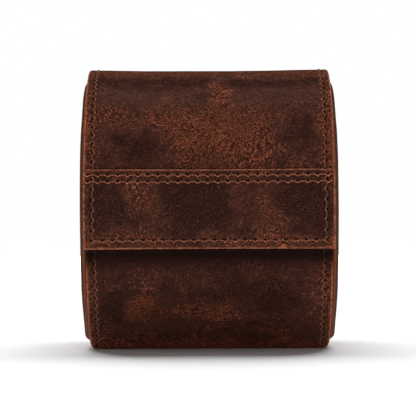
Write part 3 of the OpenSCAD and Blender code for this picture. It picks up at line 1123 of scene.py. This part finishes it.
def slack_pillow(half_l, half, middle):
    """The pillow before it is filled: an oval tube a little slimmer than its room, with rounded ends."""
    slack, power, corner, taper = 1.6 * MM, 2.3, 6 * MM, 0.05
    inner = half_l - slack
    xs = graded(-inner, inner, 2 * MM, [(side * inner, corner, 0.5 * MM) for side in (-1, 1)])
    x, angle = np.meshgrid(xs, full_turn(96), indexing="ij")
    c, s = np.cos(angle), np.sin(angle)
    oval = (np.abs(c) ** power + np.abs(s) ** power) ** (-1 / power)
    fall = round_off(inner - np.abs(x), corner, corner)
    waist = 1 - taper * (x / inner) ** 2
    y = ((half[1] - slack) * oval * waist - fall) * c
    z = middle + ((half[2] - slack) * oval * waist - fall) * s
    index = np.arange(x.size).reshape(x.shape)
    faces = grid_faces(index.T, closed_first=True)[:, ::-1].tolist()
    faces += [index[0][::-1].tolist(), index[-1].tolist()]
    return add_mesh("watch_pillow", np.stack([x, y, z], -1), faces)


def press_seams(piece, seam, middle):
    """Draw the suede in along both seams, with small puckers that die out on each side."""
    points = mesh_points(piece.data)
    x, y, z = points[:, 0], points[:, 1], points[:, 2] - middle
    angle, radius = np.arctan2(z, y), np.hypot(y, z)
    away = np.abs(x) - seam
    # A number of puckers once round, unevenly spaced
    count, unevenness = 34, 1.5 * np.sin(5 * angle)
    pucker = 0.28 * MM * bell(away, 4.5 * MM) * np.cos(count * angle + unevenness)
    pull = 0.9 * MM * bell(away, 1.3 * MM) + pucker
    # The pull fades out towards the middle of the ends
    factor = 1 - pull / np.maximum(radius, MM) * np.clip(radius / (14 * MM), 0, 1)
    points[:, 1] = y * factor
    points[:, 2] = middle + z * factor
    piece.data.vertices.foreach_set("co", points.ravel())
    piece.data.update()


def add_piping(pillow, x, middle, name, finish):
    """A suede-covered cord sewn into a seam: a round tube along the line where the seam's plane cuts
    the pillow, found by looking outwards from the middle."""
    radius, spread = 0.85 * MM, 6
    proud = 0.35 * radius
    bpy.context.view_layer.update()
    turn = full_turn(180)
    rays = np.stack([0 * turn, np.cos(turn), np.sin(turn)], 1)
    centre = Vector((x, 0, middle))
    reach = np.array([(pillow.ray_cast(centre, ray)[1] - centre).length for ray in rays.tolist()])
    weight = bell(np.arange(-spread, spread + 1), spread / 2)
    reach = np.convolve(np.pad(reach, spread, "wrap"), weight / weight.sum(), "valid") + proud
    around = full_turn(8)[:, None]
    out = (reach + radius * np.cos(around))[..., None] * rays
    out[..., 0] = x + radius * np.sin(around)
    out[..., 2] += middle
    index = np.arange(out[..., 0].size).reshape(out.shape[:2])
    index = np.concatenate([index, index[:, :1]], 1)
    cord = add_mesh(name, out, grid_faces(index, closed_first=True), finish)
    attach(cord, "pillow")


def make_pillow():
    """Make the watch pillow: suede blown up over its filling, with a seam and piping round each end."""
    low, high = np.array(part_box("pillow_cover"), float)
    half_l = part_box("pillow_right_cap")[1][0]
    # Each seam runs a little inside the end of the cover
    seam = high[0] - 2 * MM
    middle, half = (low[2] + high[2]) / 2, (high - low) / 2
    piece = slack_pillow(half_l, half, middle)
    blow_up(piece, voxel=2.6 * MM, pressure=4.0, reach=2.4 * MM)
    rounder = piece.modifiers.new("smooth", "SUBSURF")
    rounder.levels = rounder.render_levels = 1
    bake_modifiers(piece)
    press_seams(piece, seam, middle)
    suede = material("pillow_suede", suede_material, False)
    piece.data.polygons.foreach_set("use_smooth", np.ones(len(piece.data.polygons), bool))
    piece.data.materials.clear()
    piece.data.materials.append(suede)
    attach(piece, "pillow")
    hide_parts("pillow_cover", "pillow_left_cap", "pillow_right_cap", "pillow_core")
    for side, name in ((-1, "left"), (1, "right")):
        add_piping(piece, side * seam, middle, f"{name}_pillow_piping", suede)


def make_inner_parts():
    """Finish the boards, foam, magnets and cheek linings that the frame carries over."""
    colours = case_colours()
    # By the ending of a node's name: material, dark and light colour, pattern scale, roughness, metal
    finishes = {
        "board": ("fibre_board", (0.20, 0.15, 0.10), (0.30, 0.24, 0.17), 600.0, 0.85, 0.0),
        "padding": ("cheek_foam", (0.62, 0.57, 0.44), (0.78, 0.74, 0.62), 9000.0, 0.95, 0.0),
        "magnets": ("nickel_plate", (0.55, 0.55, 0.57), (0.66, 0.66, 0.68), 400.0, 0.28, 1.0),
        "cheek_lining": ("cheek_suede", colours.suede, colours.suede_light, 1100.0, 0.92, 0.0),
    }
    for name, node in frame["nodes"].items():
        for ending, (finish, *recipe) in finishes.items():
            if name.endswith(ending):
                node.data.materials.clear()
                node.data.materials.append(material(finish, plain_material, *recipe))


def white_room(scene, room):
    """A surround that the camera sees as white, and that lights the case only a little."""
    world = bpy.data.worlds.new("studio")
    scene.world = world
    world.use_nodes = True
    tree = world.node_tree
    background = tree.nodes["Background"]
    background.inputs["Color"].default_value = (1, 1, 1, 1)
    seen = tree.nodes.new("ShaderNodeLightPath").outputs["Is Camera Ray"]
    level = tree.nodes.new("ShaderNodeMapRange")
    level.inputs["To Min"].default_value = room
    level.inputs["To Max"].default_value = 1.0
    tree.links.new(seen, level.inputs["Value"])
    tree.links.new(level.outputs["Result"], background.inputs["Strength"])


def add_light(name, kind, place, power):
    """A soft light at a place, turned to the middle of the case. Only the front one shows in the
    leather's shine, because the others would lay a grey veil on the faces seen edge-on."""
    light = bpy.data.lights.new(name, kind)
    light.energy = power
    if kind == "SUN":
        light.angle = np.radians(64)
    else:
        light.shape = "RECTANGLE"
        light.size, light.size_y = 1.2, 0.3
    lamp = bpy.data.objects.new(name, light)
    bpy.context.scene.collection.objects.link(lamp)
    lamp.location = place
    lamp.visible_glossy = name == "front_fill"
    lamp.rotation_euler = (Vector((0, 0, AXIS_H)) - Vector(place)).to_track_quat("-Z", "Y").to_euler()


def make_stage():
    """Set up the floor, the light and the camera."""
    scene = bpy.context.scene
    stage = scene.watch_case_stage
    reach = 30.0
    corners = [(-reach, -reach, 0), (reach, -reach, 0), (reach, reach, 0), (-reach, reach, 0)]
    floor = add_mesh("floor", corners, [[0, 1, 2, 3]], material("pale_floor", floor_material))

    white_room(scene, stage.room)
    add_light("overhead_light", "SUN", (0, -np.sin(stage.tilt), np.cos(stage.tilt)), stage.overhead)
    away = 1.5
    for name, place, power in (
        ("front_fill", (0, -away, 0.13), stage.fill),
        ("left_fill", (-away, 0.1, 0.17), stage.side_fill),
        ("right_fill", (away, 0.1, 0.17), stage.side_fill),
        ("back_fill", (0, away, 0.2), stage.side_fill),
    ):
        add_light(name, "AREA", place, power)

    camera = bpy.data.cameras.new("camera")
    camera.lens = stage.lens
    camera.sensor_width = 36
    camera.clip_start = 0.01
    eye = bpy.data.objects.new("camera", camera)
    scene.collection.objects.link(eye)
    eye.location = (-stage.aside, -stage.distance, stage.height)
    eye.rotation_euler = (np.radians(90), stage.roll, 0)
    scene.camera = eye
    scene.view_settings.view_transform = "Standard"


# Operators and panel


class Maker:
    """What every operator of this add-on does: it calls its make function."""

    def execute(self, context):
        self.make()
        return {"FINISHED"}


class WATCHCASE_OT_wall(Maker, bpy.types.Operator):
    """Make the case wall's outer leather"""

    bl_idname = "watchcase.wall"
    bl_label = "Case wall"
    make = staticmethod(make_wall)


class WATCHCASE_OT_flap(Maker, bpy.types.Operator):
    """Make the flap's outer leather, which runs on from a little below the hinge"""

    bl_idname = "watchcase.flap"
    bl_label = "Flap"
    make = staticmethod(make_flap)


class WATCHCASE_OT_band(Maker, bpy.types.Operator):
    """Make the leather band on the flap's front"""

    bl_idname = "watchcase.band"
    bl_label = "Front band"
    make = staticmethod(make_band)


class WATCHCASE_OT_linings(Maker, bpy.types.Operator):
    """Make the suede linings of the wall and of the flap"""

    bl_idname = "watchcase.linings"
    bl_label = "Linings"
    make = staticmethod(make_linings)


class WATCHCASE_OT_stitching(Maker, bpy.types.Operator):
    """Sew every row of stitches"""

    bl_idname = "watchcase.stitching"
    bl_label = "Stitching"
    make = staticmethod(make_stitching)


class WATCHCASE_OT_cheeks(Maker, bpy.types.Operator):
    """Make the padded cheeks"""

    bl_idname = "watchcase.cheeks"
    bl_label = "Cheeks"
    make = staticmethod(make_cheeks)


class WATCHCASE_OT_pillow(Maker, bpy.types.Operator):
    """Make the watch pillow: suede blown up over its filling, with a seam and piping round each end"""

    bl_idname = "watchcase.pillow"
    bl_label = "Watch pillow"
    make = staticmethod(make_pillow)


class WATCHCASE_OT_inner_parts(Maker, bpy.types.Operator):
    """Finish the boards, foam, magnets and cheek linings that the frame carries over"""

    bl_idname = "watchcase.inner_parts"
    bl_label = "Inner parts"
    make = staticmethod(make_inner_parts)


class WATCHCASE_OT_stage(Maker, bpy.types.Operator):
    """Set up the floor, the light and the camera"""

    bl_idname = "watchcase.stage"
    bl_label = "Stage"
    make = staticmethod(make_stage)


class WATCHCASE_PT_panel(bpy.types.Panel):
    """Lists the pieces that can be made, and the settings"""

    bl_idname = "WATCHCASE_PT_panel"
    bl_label = "Watch Case"
    bl_space_type = "VIEW_3D"
    bl_region_type = "UI"
    bl_category = "Watch Case"

    def draw(self, context):
        for operator in OPERATORS:
            self.layout.operator(operator.bl_idname)
        for group_name in GROUPS:
            group, box = getattr(context.scene, group_name), self.layout.box()
            for name in group.bl_rna.properties.keys():
                if name not in ("rna_type", "name"):
                    box.prop(group, name)


OPERATORS = (
    WATCHCASE_OT_stage,
    WATCHCASE_OT_wall,
    WATCHCASE_OT_flap,
    WATCHCASE_OT_band,
    WATCHCASE_OT_linings,
    WATCHCASE_OT_cheeks,
    WATCHCASE_OT_stitching,
    WATCHCASE_OT_pillow,
    WATCHCASE_OT_inner_parts,
)
GROUPS = {
    "watch_case_sizes": WatchCaseSizes,
    "watch_case_colours": WatchCaseColours,
    "watch_case_stage": WatchCaseStage,
}


def register():
    for made in (*GROUPS.values(), *OPERATORS, WATCHCASE_PT_panel):
        bpy.utils.register_class(made)
    for name, group in GROUPS.items():
        setattr(bpy.types.Scene, name, PointerProperty(type=group))


def unregister():
    for name in GROUPS:
        delattr(bpy.types.Scene, name)
    for made in (WATCHCASE_PT_panel, *OPERATORS, *GROUPS.values()):
        bpy.utils.unregister_class(made)


def main():
    register()
    for operator in OPERATORS:
        family, name = operator.bl_idname.split(".")
        getattr(getattr(bpy.ops, family), name)()


if __name__ == "__main__":
    main()
